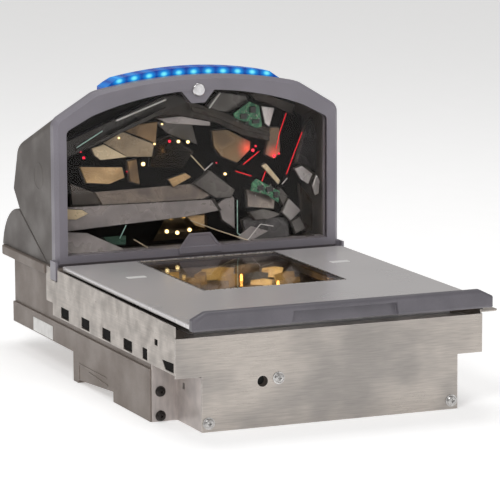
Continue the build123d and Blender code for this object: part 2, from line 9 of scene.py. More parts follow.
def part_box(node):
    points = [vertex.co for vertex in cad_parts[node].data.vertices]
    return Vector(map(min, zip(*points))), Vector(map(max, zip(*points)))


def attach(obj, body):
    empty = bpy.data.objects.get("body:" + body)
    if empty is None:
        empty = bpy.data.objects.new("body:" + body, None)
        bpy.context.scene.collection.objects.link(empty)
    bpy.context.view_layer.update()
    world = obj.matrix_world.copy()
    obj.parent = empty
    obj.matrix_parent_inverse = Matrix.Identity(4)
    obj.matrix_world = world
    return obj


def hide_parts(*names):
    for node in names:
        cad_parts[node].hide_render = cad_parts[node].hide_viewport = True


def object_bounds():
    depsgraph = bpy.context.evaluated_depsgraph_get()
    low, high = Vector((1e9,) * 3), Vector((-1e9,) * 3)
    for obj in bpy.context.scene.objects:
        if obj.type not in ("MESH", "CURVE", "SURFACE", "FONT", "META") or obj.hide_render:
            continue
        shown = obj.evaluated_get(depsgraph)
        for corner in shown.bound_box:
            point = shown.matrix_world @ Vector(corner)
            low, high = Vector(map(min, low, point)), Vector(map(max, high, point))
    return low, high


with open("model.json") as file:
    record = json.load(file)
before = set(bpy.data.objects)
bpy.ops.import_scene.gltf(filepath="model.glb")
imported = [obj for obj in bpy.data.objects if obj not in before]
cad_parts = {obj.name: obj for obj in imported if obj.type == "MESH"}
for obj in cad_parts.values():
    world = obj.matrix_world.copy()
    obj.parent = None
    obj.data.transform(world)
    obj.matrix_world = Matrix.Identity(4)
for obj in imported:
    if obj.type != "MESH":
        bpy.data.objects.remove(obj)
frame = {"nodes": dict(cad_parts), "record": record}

MM = 0.001
OPTICS_GAP = 10  # clear space between the pane and the first mirror, in mm
NODES = frame["nodes"]
cad_low, cad_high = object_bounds()


# ---- places read from the frame, in millimetres ----
def span(node):
    """Lowest and highest corner of a CAD node in millimetres."""
    low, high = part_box(node)
    return low / MM, high / MM


glass_back = span("tower_glass")[1].y
platter_low, platter_high = span("platter")
window_low, window_high = span("platter_glass")
panel_front = span("front_panel")[0].y
housing_back = span("upper_housing")[1].y
pan_side = span("lower_pan")[1].x
bar_low, bar_high = span("light_bar")
socket_low, socket_high = span("io_sockets")
inlet_low, inlet_high = span("power_inlet")
PLATTER_TOP = platter_high.z
BEHIND_GLASS = glass_back + 1


# ---- camera and stage ----
def add_camera():
    """Long lens from the operator's left, a little above the platter."""
    azimuth, elevation, roll = radians(-22.77), radians(9.60), radians(-0.30)
    aim, distance = Vector((0.0416, 0.0648, 0.1081)), 3.384
    back = Vector((sin(azimuth) * cos(elevation), -cos(azimuth) * cos(elevation), sin(elevation)))
    data = bpy.data.cameras.new("camera")
    data.sensor_width, data.lens = 36.0, 251.0
    camera = bpy.data.objects.new("camera", data)
    bpy.context.scene.collection.objects.link(camera)
    camera.rotation_mode = "QUATERNION"
    camera.location = aim + back * distance
    camera.rotation_quaternion = (-back).to_track_quat("-Z", "Y") @ Quaternion((0, 0, 1), roll)
    bpy.context.scene.camera = camera


def add_lamp(name, place, target, size, watts, tint=(1, 1, 1)):
    data = bpy.data.lights.new(name, "AREA")
    data.shape, data.size, data.energy, data.color = "DISK", size, watts, tint
    lamp = bpy.data.objects.new(name, data)
    bpy.context.scene.collection.objects.link(lamp)
    lamp.location = place
    lamp.rotation_mode = "QUATERNION"
    lamp.rotation_quaternion = (Vector(target) - Vector(place)).to_track_quat("-Z", "Y")


# ---- material helpers ----
def new_tree(name):
    material = bpy.data.materials.new(name)
    material.use_nodes = True
    material.node_tree.nodes.clear()
    return material, material.node_tree


def put(tree, kind, inputs=None, **settings):
    """Adds a node; an input that is a socket is linked and anything else is its value."""
    node = tree.nodes.new("ShaderNode" + kind)
    for key, value in settings.items():
        setattr(node, key, value)
    for key, value in (inputs or {}).items():
        if isinstance(value, bpy.types.NodeSocket):
            tree.links.new(value, node.inputs[key])
        else:
            node.inputs[key].default_value = value
    return node


def rgb(colour):
    return (*colour, 1.0)


def blend_colours(tree, share, first, second, mode="MIX"):
    node = put(tree, "Mix", {0: share, 6: first, 7: second}, data_type="RGBA", blend_type=mode)
    return node.outputs[2]


def spread(tree, value, low, high, to_low, to_high):
    inputs = {"Value": value, "From Min": low, "From Max": high, "To Min": to_low, "To Max": to_high}
    return put(tree, "MapRange", inputs).outputs[0]


def noise(tree, where, scale, detail=3.0, stretch=None):
    if stretch:
        where = put(tree, "Mapping", {"Vector": where, "Scale": stretch}).outputs[0]
    return put(tree, "TexNoise", {"Vector": where, "Scale": scale, "Detail": detail}).outputs[0]


def edge_mask(tree, width):
    """One along sharp edges, zero on open faces."""
    soft = put(tree, "Bevel", {"Radius": width * MM}, samples=6).outputs[0]
    flat = put(tree, "NewGeometry").outputs["Normal"]
    alike = put(tree, "VectorMath", {0: soft, 1: flat}, operation="DOT_PRODUCT").outputs["Value"]
    return spread(tree, alike, 0.99, 0.80, 0.0, 1.0)


def surface(name, base, tone, rough, metallic=0.0, blotch=28.0, grain=(1600, 0.03), brush=None,
            brush_depth=0.02, wear_and_highlight=None, wear_and_highlight_width=0.9, rough_range=0.10, speck=0.0, fixed=None):
    """A solid finish with tone variation, fine grain, optional brush lines and lighter edges that are partly
    wear and partly painted highlight.
    """
    material, tree = new_tree(name)
    where = put(tree, "TexCoord").outputs["Object"]
    cloud = noise(tree, where, blotch)
    patch = spread(tree, cloud, 0.38, 0.62, 0.0, 1.0)
    colour = blend_colours(tree, patch, rgb(base), rgb(tone))
    fine = noise(tree, where, grain[0], 2.0)
    if speck:
        flecks = spread(tree, fine, 0.35, 0.65, 1.0 - speck, 1.0 + speck)
        colour = blend_colours(tree, 1.0, colour, flecks, "MULTIPLY")
    roughness = spread(tree, cloud, 0.35, 0.65, rough - rough_range, rough + rough_range)
    bump = put(tree, "Bump", {"Height": fine, "Distance": grain[1] * MM, "Strength": 0.6})
    if brush:
        lines = noise(tree, where, 1.0, 4.0, brush)
        shade = spread(tree, lines, 0.30, 0.70, 0.84, 1.12)
        colour = blend_colours(tree, 1.0, colour, shade, "MULTIPLY")
        extra = spread(tree, lines, 0.30, 0.70, -0.08, 0.08)
        roughness = put(tree, "Math", {0: roughness, 1: extra}, operation="ADD").outputs[0]
        bump = put(tree, "Bump", {"Height": lines, "Distance": brush_depth * MM, "Strength": 0.5,
                                  "Normal": bump.outputs[0]})
    # Lighter colour along sharp edges: partly wear, partly a painted highlight where light catches the
    # edges.
    if wear_and_highlight:
        edge_patchiness = noise(tree, where, 160.0)
        share = put(tree, "Math", {0: edge_mask(tree, wear_and_highlight_width),
                                   1: spread(tree, edge_patchiness, 0.38, 0.62, 0.15, 0.9)},
                    operation="MULTIPLY").outputs[0]
        colour = blend_colours(tree, share, colour, rgb(wear_and_highlight))
    shader = put(tree, "BsdfPrincipled", {"Base Color": colour, "Roughness": roughness,
                                          "Metallic": metallic, "Normal": bump.outputs[0]})
    for key, value in (fixed or {}).items():
        shader.inputs[key].default_value = value
    out = put(tree, "OutputMaterial")
    tree.links.new(shader.outputs[0], out.inputs["Surface"])
    return material


def window_glass(name, tint, index=1.18, rough=0.012):
    """Clear coated glass that lamps shine through, with faint wiping marks."""
    material, tree = new_tree(name)
    where = put(tree, "TexCoord").outputs["Object"]
    smear = noise(tree, where, 1.0, 4.0, (18, 40, 90))
    shader = put(tree, "BsdfPrincipled", {
        "Base Color": rgb(tint), "Roughness": spread(tree, smear, 0.45, 0.75, rough, rough + 0.05),
        "Transmission Weight": 1.0, "IOR": index})
    clear = put(tree, "BsdfTransparent", {"Color": rgb(tint)})
    rays = put(tree, "LightPath")
    mixed = put(tree, "MixShader", {0: rays.outputs["Is Shadow Ray"], 1: shader.outputs[0],
                                    2: clear.outputs[0]})
    out = put(tree, "OutputMaterial")
    tree.links.new(mixed.outputs[0], out.inputs["Surface"])
    return material


def lamp_glow(name, colour, strength, rim):
    """A small lit lamp, brightest where it faces outwards."""
    material, tree = new_tree(name)
    where = put(tree, "TexCoord").outputs["Object"]
    flicker = noise(tree, where, 900.0)
    facing = put(tree, "LayerWeight", {"Blend": 0.35}).outputs["Facing"]
    tone = blend_colours(tree, facing, rgb(colour), rgb(rim))
    level = spread(tree, flicker, 0.3, 0.7, strength * 0.8, strength)
    shader = put(tree, "BsdfPrincipled", {"Base Color": tone, "Roughness": 0.25,
                                          "Emission Color": tone, "Emission Strength": level})
    out = put(tree, "OutputMaterial")
    tree.links.new(shader.outputs[0], out.inputs["Surface"])
    return material


def status_lens(name):
    """Blue lens lit from inside by an even row of lamps under its crown."""
    pitch, rise = 15.4 * MM, 7.6 * MM
    half = (bar_high.x - bar_low.x) / 2 * MM
    lamp_z = (bar_high.z - 4.4) * MM
    material, tree = new_tree(name)
    where = put(tree, "TexCoord").outputs["Object"]
    part = put(tree, "SeparateXYZ", {0: where})
    x, z = part.outputs["X"], part.outputs["Z"]
    cell = put(tree, "Math", {0: x, 1: pitch}, operation="DIVIDE").outputs[0]
    cell = put(tree, "Math", {0: cell, 1: 0.5}, operation="ADD").outputs[0]
    cell = put(tree, "Math", {0: cell}, operation="FRACT").outputs[0]
    off = put(tree, "Math", {0: cell, 1: 0.5}, operation="SUBTRACT").outputs[0]
    off = put(tree, "Math", {0: off, 1: pitch}, operation="MULTIPLY").outputs[0]
    bow = put(tree, "Math", {0: x, 1: x}, operation="MULTIPLY").outputs[0]
    bow = put(tree, "Math", {0: bow, 1: rise / half ** 2}, operation="MULTIPLY").outputs[0]
    line = put(tree, "Math", {0: lamp_z, 1: bow}, operation="SUBTRACT").outputs[0]
    drop = put(tree, "Math", {0: z, 1: line}, operation="SUBTRACT").outputs[0]
    drop = put(tree, "Math", {0: drop, 1: 1.5}, operation="MULTIPLY").outputs[0]
    place = put(tree, "CombineXYZ", {0: off, 1: drop}).outputs[0]
    away = put(tree, "VectorMath", {0: place}, operation="LENGTH").outputs["Value"]
    halo = spread(tree, away, 2.0 * MM, 8.5 * MM, 1.0, 0.0)
    core = spread(tree, away, 0.8 * MM, 4.0 * MM, 1.0, 0.0)
    streak = noise(tree, where, 1.0, 3.0, (240, 60, 500))
    blue = blend_colours(tree, spread(tree, streak, 0.3, 0.7, 0.0, 1.0),
                         rgb((0.001, 0.012, 0.16)), rgb((0.002, 0.035, 0.30)))
    tone = blend_colours(tree, halo, rgb((0.0, 0.05, 0.34)), rgb((0.0, 0.36, 0.80)))
    tone = blend_colours(tree, core, tone, rgb((0.20, 0.90, 0.85)))
    level = spread(tree, halo, 0.0, 1.0, 0.55, 1.0)
    shader = put(tree, "BsdfPrincipled", {
        "Base Color": blue, "Roughness": spread(tree, streak, 0.3, 0.7, 0.22, 0.34),
        "Emission Color": tone, "Emission Strength": level, "Specular IOR Level": 0.3})
    out = put(tree, "OutputMaterial")
    tree.links.new(shader.outputs[0], out.inputs["Surface"])
    return material


def board_finish(name):
    """Green solder mask with copper tracks and pads under it."""
    material, tree = new_tree(name)
    where = put(tree, "TexCoord").outputs["Object"]
    tracks = put(tree, "TexBrick", {"Vector": where, "Scale": 260.0, "Mortar Size": 0.03,
                                    "Color1": rgb((0.01, 0.10, 0.05)), "Color2": rgb((0.015, 0.16, 0.08)),
                                    "Mortar": rgb((0.10, 0.34, 0.17))}).outputs[0]
    cells = put(tree, "TexVoronoi", {"Vector": where, "Scale": 420.0}).outputs["Distance"]
    pads = spread(tree, cells, 0.20, 0.16, 0.0, 0.8)
    colour = blend_colours(tree, pads, tracks, rgb((0.62, 0.60, 0.45)))
    bump = put(tree, "Bump", {"Height": cells, "Distance": 0.05 * MM, "Strength": 0.4})
    shader = put(tree, "BsdfPrincipled", {
        "Base Color": colour, "Roughness": spread(tree, cells, 0.1, 0.6, 0.25, 0.45),
        "Normal": bump.outputs[0]})
    out = put(tree, "OutputMaterial")
    tree.links.new(shader.outputs[0], out.inputs["Surface"])
    return material


FINISHES = {
    "housing_cast": surface("cast_paint", (0.235, 0.195, 0.170), (0.205, 0.170, 0.148), 0.52,
                            grain=(900, 0.10), wear_and_highlight=(0.42, 0.38, 0.34), speck=0.10),
    "bracket_sheet": surface("galvanised", (0.50, 0.455, 0.415), (0.43, 0.395, 0.365), 0.42, 0.85,
                             blotch=60.0, brush=(60, 22, 900), wear_and_highlight=(0.78, 0.75, 0.71)),
    "panel_steel": surface("brushed_panel", (0.50, 0.455, 0.415), (0.40, 0.372, 0.350), 0.40, 0.9,
                           blotch=16.0, brush=(60, 500, 900), brush_depth=0.02,
                           wear_and_highlight=(0.86, 0.84, 0.80), fixed={"Anisotropic": 0.5}),
    "screw_zinc": surface("zinc_screw", (0.62, 0.61, 0.60), (0.48, 0.47, 0.46), 0.30, 1.0,
                          blotch=300.0, wear_and_highlight=(0.85, 0.85, 0.84), wear_and_highlight_width=0.4),
    "screw_black": surface("black_oxide", (0.035, 0.028, 0.026), (0.02, 0.017, 0.016), 0.38, 0.6,
                           blotch=300.0, wear_and_highlight=(0.20, 0.17, 0.15), wear_and_highlight_width=0.4),
    "label_blank": surface("label_film", (0.80, 0.79, 0.77), (0.72, 0.71, 0.69), 0.42,
                           blotch=120.0, grain=(2400, 0.01)),
    "platter_steel": surface("platter_satin", (0.78, 0.75, 0.75), (0.71, 0.685, 0.685), 0.24, 0.35,
                             blotch=7.0, grain=(2400, 0.006), wear_and_highlight=(0.88, 0.87, 0.86),
                             rough_range=0.04),
    "bezel_grey": surface("bezel_plastic", (0.245, 0.228, 0.262), (0.225, 0.210, 0.240), 0.40,
                          grain=(1500, 0.05), wear_and_highlight=(0.40, 0.38, 0.42), speck=0.06),
    "cover_grey": surface("cover_plastic", (0.128, 0.112, 0.102), (0.112, 0.098, 0.090), 0.50,
                          grain=(1300, 0.07), wear_and_highlight=(0.26, 0.24, 0.22), speck=0.08),
    "window_glass": window_glass("window_glass", (0.97, 0.95, 0.93)),
    "frame_alloy": surface("cast_alloy", (0.55, 0.55, 0.56), (0.45, 0.45, 0.46), 0.48, 0.9,
                           grain=(700, 0.12), wear_and_highlight=(0.8, 0.8, 0.8)),
    "cell_alloy": surface("milled_alloy", (0.66, 0.67, 0.68), (0.58, 0.59, 0.60), 0.30, 1.0,
                          brush=(900, 40, 900), wear_and_highlight=(0.9, 0.9, 0.9)),
    "pad_rubber": surface("pad_rubber", (0.030, 0.030, 0.030), (0.045, 0.043, 0.040), 0.80,
                          grain=(1100, 0.08)),
    "inner_black": surface("inner_black", (0.016, 0.014, 0.013), (0.030, 0.024, 0.020), 0.34,
                           grain=(900, 0.05), wear_and_highlight=(0.16, 0.14, 0.12)),
    "mirror_coat": surface("warm_mirror", (0.66, 0.58, 0.43), (0.56, 0.48, 0.35), 0.10, 1.0,
                           blotch=45.0, grain=(500, 0.004), wear_and_highlight=(0.9, 0.86, 0.74),
                           rough_range=0.05),
    "light_blue": status_lens("status_lens"),
    "led_white": lamp_glow("lamp_white", (0.45, 0.95, 1.0), 6.0, (0.1, 0.5, 1.0)),
    "board_green": board_finish("green_board"),
    "chip_black": surface("chip_resin", (0.022, 0.022, 0.023), (0.034, 0.034, 0.035), 0.45,
                          grain=(1800, 0.03), wear_and_highlight=(0.12, 0.12, 0.12), wear_and_highlight_width=0.3),
    "button_silver": surface("button_silver", (0.74, 0.73, 0.74), (0.62, 0.61, 0.62), 0.14, 0.9,
                             blotch=120.0, grain=(2200, 0.004), wear_and_highlight=(0.9, 0.9, 0.9),
                             rough_range=0.05),
    "button_black": surface("button_black", (0.012, 0.012, 0.012), (0.020, 0.019, 0.018), 0.6,
                            grain=(1500, 0.03)),
    "brass_barrel": surface("turned_brass", (0.62, 0.45, 0.18), (0.50, 0.36, 0.15), 0.25, 1.0,
                            brush=(900, 60, 60), wear_and_highlight=(0.85, 0.70, 0.40)),
    "motor_steel": surface("motor_steel", (0.48, 0.48, 0.49), (0.38, 0.38, 0.39), 0.32, 1.0,
                           brush=(60, 60, 900), wear_and_highlight=(0.8, 0.8, 0.8)),
}


# ---- finishes of the plates inside the tower ----
def plate(name, base, tone, rough=0.30, metallic=0.25):
    """Coated glass or sheet inside the tower, with soft cloudy tone and bright cut edges that are a painted
    highlight.
    """
    # The cut edges are painted much lighter than the face: a painted highlight.
    cut_edge_highlight = tuple(min(1.0, value * 2.4 + 0.04) for value in base)
    return surface(name, base, tone, rough, metallic, blotch=42.0, grain=(700, 0.01), wear_and_highlight=cut_edge_highlight,
                   wear_and_highlight_width=0.5)


def glowing_plate(name, base, tone, middle, reach):
    """The coated plate again, with a soft red scan glow round one point of it."""
    material = plate(name, base, tone)
    tree = material.node_tree
    where = put(tree, "TexCoord").outputs["Object"]
    spot = tuple(value * MM for value in middle)
    away = put(tree, "VectorMath", {0: where, 1: spot}, operation="DISTANCE").outputs["Value"]
    level = spread(tree, away, 0.0, reach * MM, 1.0, 0.0)
    level = put(tree, "Math", {0: level, 1: 2.0}, operation="POWER").outputs[0]
    shader = next(node for node in tree.nodes if node.type == "BSDF_PRINCIPLED")
    shader.inputs["Emission Color"].default_value = rgb((1.0, 0.05, 0.03))
    tree.links.new(level, shader.inputs["Emission Strength"])
    return material


INNER = {
    "glow_brown": glowing_plate("inner_glow_brown", (0.24, 0.155, 0.075), (0.12, 0.08, 0.04),
                                (68, 134, 197), 15),
    "glow_tan": glowing_plate("inner_glow_tan", (0.32, 0.25, 0.17), (0.22, 0.17, 0.12),
                              (92, 128, 191), 14),
    "cream": plate("inner_cream", (0.74, 0.62, 0.42), (0.54, 0.44, 0.29)),
    "tan_light": plate("inner_tan_light", (0.56, 0.38, 0.19), (0.34, 0.22, 0.10)),
    "tan": plate("inner_tan", (0.40, 0.32, 0.22), (0.28, 0.22, 0.15)),
    "tan_grey": plate("inner_tan_grey", (0.26, 0.22, 0.19), (0.14, 0.12, 0.11)),
    "umber": plate("inner_umber", (0.27, 0.17, 0.08), (0.13, 0.08, 0.04)),
    "umber_dark": plate("inner_umber_dark", (0.040, 0.028, 0.020), (0.018, 0.013, 0.010)),
    "slate_light": plate("inner_slate_light", (0.33, 0.305, 0.305), (0.23, 0.215, 0.22)),
    "slate": plate("inner_slate", (0.16, 0.15, 0.145), (0.085, 0.08, 0.075)),
    "slate_dark": plate("inner_slate_dark", (0.055, 0.052, 0.055), (0.025, 0.023, 0.024)),
    "silver": plate("inner_silver", (0.78, 0.76, 0.76), (0.58, 0.56, 0.57)),
    "silver_dim": plate("inner_silver_dim", (0.38, 0.36, 0.36), (0.26, 0.25, 0.25)),
    "dark_glass": plate("inner_dark_glass", (0.022, 0.018, 0.013), (0.012, 0.010, 0.008), 0.12),
    "bottle": plate("inner_bottle", (0.02, 0.075, 0.050), (0.01, 0.035, 0.022)),
    "gold": plate("inner_gold", (0.62, 0.40, 0.13), (0.36, 0.20, 0.06), 0.28),
    "glint": plate("inner_glint", (0.92, 0.92, 0.92), (0.80, 0.80, 0.80)),
    "glint_teal": plate("inner_glint_teal", (0.45, 0.72, 0.66), (0.32, 0.56, 0.50)),
}
EXTRA = {
    "print_white": surface("print_white", (0.82, 0.81, 0.80), (0.74, 0.73, 0.72), 0.50,
                           grain=(2000, 0.01), blotch=300.0),
    # Near-black, dull finish for plates that stand where there is only shade: painted shade.
    "painted_shade_black": surface("painted_shade_black", (0.005, 0.004, 0.004), (0.009, 0.008, 0.007), 0.85,
                          grain=(1200, 0.05), fixed={"Specular IOR Level": 0.15}),
    "lamp_amber": lamp_glow("lamp_amber", (1.0, 0.52, 0.12), 5.0, (1.0, 0.25, 0.02)),
    "contact_gold": surface("contact_gold", (0.85, 0.62, 0.24), (0.75, 0.52, 0.18), 0.22, 1.0,
                            blotch=500.0),
    "lamp_warm": lamp_glow("lamp_warm", (1.0, 0.86, 0.45), 2.6, (1.0, 0.55, 0.12)),
    "lamp_red": lamp_glow("lamp_red", (1.0, 0.03, 0.06), 1.6, (0.7, 0.0, 0.03)),
    "beam_red": lamp_glow("beam_red", (0.9, 0.02, 0.03), 0.8, (0.6, 0.0, 0.02)),
}
CORNER_SHEET = surface("corner_sheet", (0.62, 0.56, 0.53), (0.54, 0.49, 0.47), 0.46, 0.5, blotch=40.0,
                       brush=(300, 60, 60), wear_and_highlight=(0.85, 0.80, 0.76))
NODE_FINISHES = {
    "platter_lip": surface("lip_plastic", (0.145, 0.135, 0.155), (0.125, 0.118, 0.135), 0.42,
                           grain=(1500, 0.05), wear_and_highlight=(0.34, 0.32, 0.35), speck=0.06),
    "platter_glass": window_glass("platter_glass", (0.99, 0.95, 0.88), 1.12),
    "corner_bracket_left": CORNER_SHEET, "corner_bracket_right": CORNER_SHEET,
}


# ---- mesh helpers ----
def finish_mesh(name, mesh, finish, body, bevel=0.0, replaces=(), smooth_angle=32):
    """Turns a bmesh in millimetres into a piece that rides on a body."""
    bmesh.ops.recalc_face_normals(mesh, faces=mesh.faces)
    mesh.transform(Matrix.Scale(MM, 4))
    data = bpy.data.meshes.new(name)
    mesh.to_mesh(data)
    mesh.free()
    data.shade_smooth()
    data.set_sharp_from_angle(angle=radians(smooth_angle))
    data.materials.append(finish)
    piece = bpy.data.objects.new(name, data)
    bpy.context.scene.collection.objects.link(piece)
    if bevel:
        round_edges(piece, bevel, 3)
    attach(piece, body)
    if replaces:
        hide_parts(*replaces)
    return piece


def round_edges(piece, width, segments=3, angle=35):
    """Rounds sharp edges, then lets the large faces decide the shading."""
    bevel = piece.modifiers.new("round", "BEVEL")
    bevel.width, bevel.segments, bevel.limit_method = width * MM, segments, "ANGLE"
    bevel.angle_limit = radians(angle)
    even = piece.modifiers.new("even", "WEIGHTED_NORMAL")
    even.mode, even.weight, even.keep_sharp = "FACE_AREA", 90, True


def add_slab(mesh, outline, thick, place=Matrix.Identity(4)):
    """Adds a closed slab: an outline in its own X and Y, from Z 0 to thick, then placed."""
    low = [mesh.verts.new(place @ Vector((x, y, 0))) for x, y in outline]
    high = [mesh.verts.new(place @ Vector((x, y, thick))) for x, y in outline]
    count = len(outline)
    mesh.faces.new(low[::-1])
    mesh.faces.new(high)
    for i in range(count):
        j = (i + 1) % count
        mesh.faces.new((low[i], low[j], high[j], high[i]))


def add_turned(mesh, rings, place=Matrix.Identity(4), steps=32):
    """Adds a closed turned form. Each ring is (radius, height, section)."""
    def reach(radius, section, angle):
        if section == "hex":
            return radius * cos(pi / 6) / cos(angle % (pi / 3) - pi / 6)
        if section == "cross":
            return radius * (0.34 + 0.66 * max(abs(cos(angle)), abs(sin(angle))) ** 10)
        return radius
    loops = []
    for radius, height, section in rings:
        angles = [2 * pi * k / steps for k in range(steps)]
        loops.append([mesh.verts.new(place @ Vector((reach(radius, section, a) * cos(a),
                                                     reach(radius, section, a) * sin(a), height)))
                      for a in angles])
    for first, second in zip(loops, loops[1:]):
        for k in range(steps):
            n = (k + 1) % steps
            mesh.faces.new((first[k], first[n], second[n], second[k]))
    mesh.faces.new(loops[0][::-1])
    mesh.faces.new(loops[-1])


def add_thread(mesh, start, end, radius):
    start, end = Vector(start), Vector(end)
    place = Matrix.Translation(start) @ (end - start).to_track_quat("Z", "Y").to_matrix().to_4x4()
    length = (end - start).length
    add_turned(mesh, [(radius * 0.5, 0, ""), (radius, radius, ""), (radius, length - radius, ""),
                      (radius * 0.5, length, "")], place, 10)


def upright(x, y, z, turn=0.0, tilt=0.0, roll=0.0):
    """Places a slab so that its outline faces the operator; turn, tilt and roll are in degrees."""
    return (Matrix.Translation((x, y, z)) @ Matrix.Rotation(radians(turn), 4, "Z")
            @ Matrix.Rotation(radians(90 + tilt), 4, "X") @ Matrix.Rotation(radians(roll), 4, "Z"))


def from_front(x, y, z):
    """Places a turned form so that it grows towards the operator."""
    return Matrix.Translation((x, y, z)) @ Matrix.Rotation(radians(90), 4, "X")


def on_side(side, distance):
    """Places a slab drawn in (y, z) on a side wall; side is -1 for left, and it grows outwards."""
    return Matrix.Translation((side * distance, 0, 0)) @ Matrix(
        ((0, 0, side, 0), (1, 0, 0, 0), (0, 1, 0, 0), (0, 0, 0, 1)))


def rectangle(width, height):
    return [(-width / 2, -height / 2), (width / 2, -height / 2),
            (width / 2, height / 2), (-width / 2, height / 2)]


def rounded(width, height, radius, steps=5):
    """A rectangle outline with round corners."""
    points = []
    for cx, cy, start in ((1, 1, 0), (-1, 1, 90), (-1, -1, 180), (1, -1, 270)):
        for k in range(steps + 1):
            angle = radians(start + 90 * k / steps)
            points.append((cx * (width / 2 - radius) + radius * cos(angle),
                           cy * (height / 2 - radius) + radius * sin(angle)))
    return points


# ---- carried-over CAD nodes ----
def dress_nodes():
    """Gives every CAD node its finish, welds its faces and rounds its edges."""
    slots = {row["node"]: row["material_slot"] for row in frame["record"]["subparts"]}
    widths = {"bezel_grey": 1.0, "cover_grey": 1.6, "housing_cast": 0.8, "platter_steel": 0.5,
              "panel_steel": 0.35, "bracket_sheet": 0.35, "light_blue": 0.8, "frame_alloy": 0.6,
              "inner_black": 0.4, "mirror_coat": 0.3, "window_glass": 0.0}
    for name, node in NODES.items():
        slot = slots[name]
        node.data.materials.clear()
        node.data.materials.append(NODE_FINISHES.get(name, FINISHES[slot]))
        if slot == "window_glass":
            continue
        node.data.shade_smooth()
        weld = node.modifiers.new("weld", "WELD")
        weld.merge_threshold = 0.005 * MM
        join = node.modifiers.new("join", "DECIMATE")
        join.decimate_type, join.angle_limit = "DISSOLVE", radians(0.4)
        width = widths.get(slot, 0.25)
        if width:
            round_edges(node, width, 3 if width >= 0.8 else 2, 28)


# ---- outside details ----
def screws():
    """Domed black screws on the corner brackets and cross-head screws on the front panel."""
    low, high = span("corner_screws")
    mesh = bmesh.new()
    for x in (low.x + 4.6, high.x - 4.6):
        for z in (low.z + 4.6, high.z - 4.6):
            place = from_front(x, high.y - 1.4, z)
            add_turned(mesh, [(4.9, 0, ""), (4.9, 0.5, ""), (4.5, 0.6, ""), (4.4, 1.8, ""),
                              (3.8, 2.9, ""), (2.9, 3.4, ""), (2.2, 3.5, ""), (1.8, 3.45, "hex"),
                              (1.7, 1.5, "hex")], place, 36)
    finish_mesh("corner_screw_heads", mesh, FINISHES["screw_black"], "scanner",
                replaces=("corner_screws",))
    low, high = span("front_panel_screws")
    mesh = bmesh.new()
    for x, z in ((low.x + 4.2, low.z + 4.2), (high.x - 4.2, low.z + 4.2), (-51.6, high.z - 4.2)):
        place = from_front(x, panel_front, z)
        add_turned(mesh, [(5.6, 0, ""), (5.6, 0.7, ""), (4.4, 0.8, ""), (4.3, 1.9, ""),
                          (3.6, 2.7, ""), (2.6, 3.0, ""), (2.2, 3.0, "cross"),
                          (1.9, 1.2, "cross")], place, 40)
    finish_mesh("panel_screw_heads", mesh, FINISHES["screw_zinc"], "scanner",
                replaces=("front_panel_screws",))


def platter_marks():
    """Two plain printed bars beside the glass, and the bright edge trim round it."""
    mesh = bmesh.new()
    for x in (-103, 106):
        place = Matrix.Translation((x, -4, PLATTER_TOP))
        add_slab(mesh, rounded(19, 9, 1.2), 0.12, place)
    finish_mesh("platter_print", mesh, EXTRA["print_white"], "platter_set")
    mesh = bmesh.new()
    width = 1.3
    middle_y = (window_low.y + window_high.y) / 2
    half_x = (window_high.x - window_low.x) / 2
    half_y = (window_high.y - window_low.y) / 2
    for side in (-1, 1):
        place = Matrix.Translation((side * (half_x + 0.2), middle_y, PLATTER_TOP - 0.35))
        add_slab(mesh, rectangle(width, 2 * half_y + 2 * width), 0.6, place)
        place = Matrix.Translation((0, middle_y + side * (half_y + 0.2), PLATTER_TOP - 0.35))
        add_slab(mesh, rectangle(2 * half_x - width, width), 0.6, place)
    finish_mesh("glass_trim", mesh, FINISHES["screw_zinc"], "platter_set", 0.2)


def platter_gap_shade():
    """Dark strip under the platter's side edges, painted shade in the gap there, with its thin shadow
    groove.
    """
    mesh = bmesh.new()
    length = platter_high.y - platter_low.y - 12
    middle = (platter_high.y + platter_low.y) / 2
    for side in (-1, 1):
        x = side * (platter_high.x - 5.5)
        add_slab(mesh, rectangle(2.4, length), 4.0, Matrix.Translation((x, middle, 94.4)))
        add_slab(mesh, rectangle(4.2, length), 1.2, Matrix.Translation((x, middle, 93.4)))
    # Both dark slabs are painted shade in the gap between the platter and the bracket.
    finish_mesh("platter_side_strips", mesh, FINISHES["inner_black"],
                "platter_set", 0.2)


def side_recess():
    """Plain round recess on each tower side, where the real one has a mark."""
    low, high = span("tower_side_left")
    for side, name in ((-1, "left"), (1, "right")):
        mesh = bmesh.new()
        place = (Matrix.Translation((side * (-low.x - 0.35), 143, 182))
                 @ Matrix.Rotation(radians(90 * side), 4, "Y"))
        add_turned(mesh, [(13.6, 0, ""), (13.6, 0.45, ""), (13.2, 0.6, ""), (12.4, 0.55, ""),
                          (12.0, 0.25, ""), (6.0, 0.40, ""), (1.0, 0.45, "")], place, 56)
        finish_mesh(f"side_roundel_{name}", mesh, FINISHES["cover_grey"], "scanner")


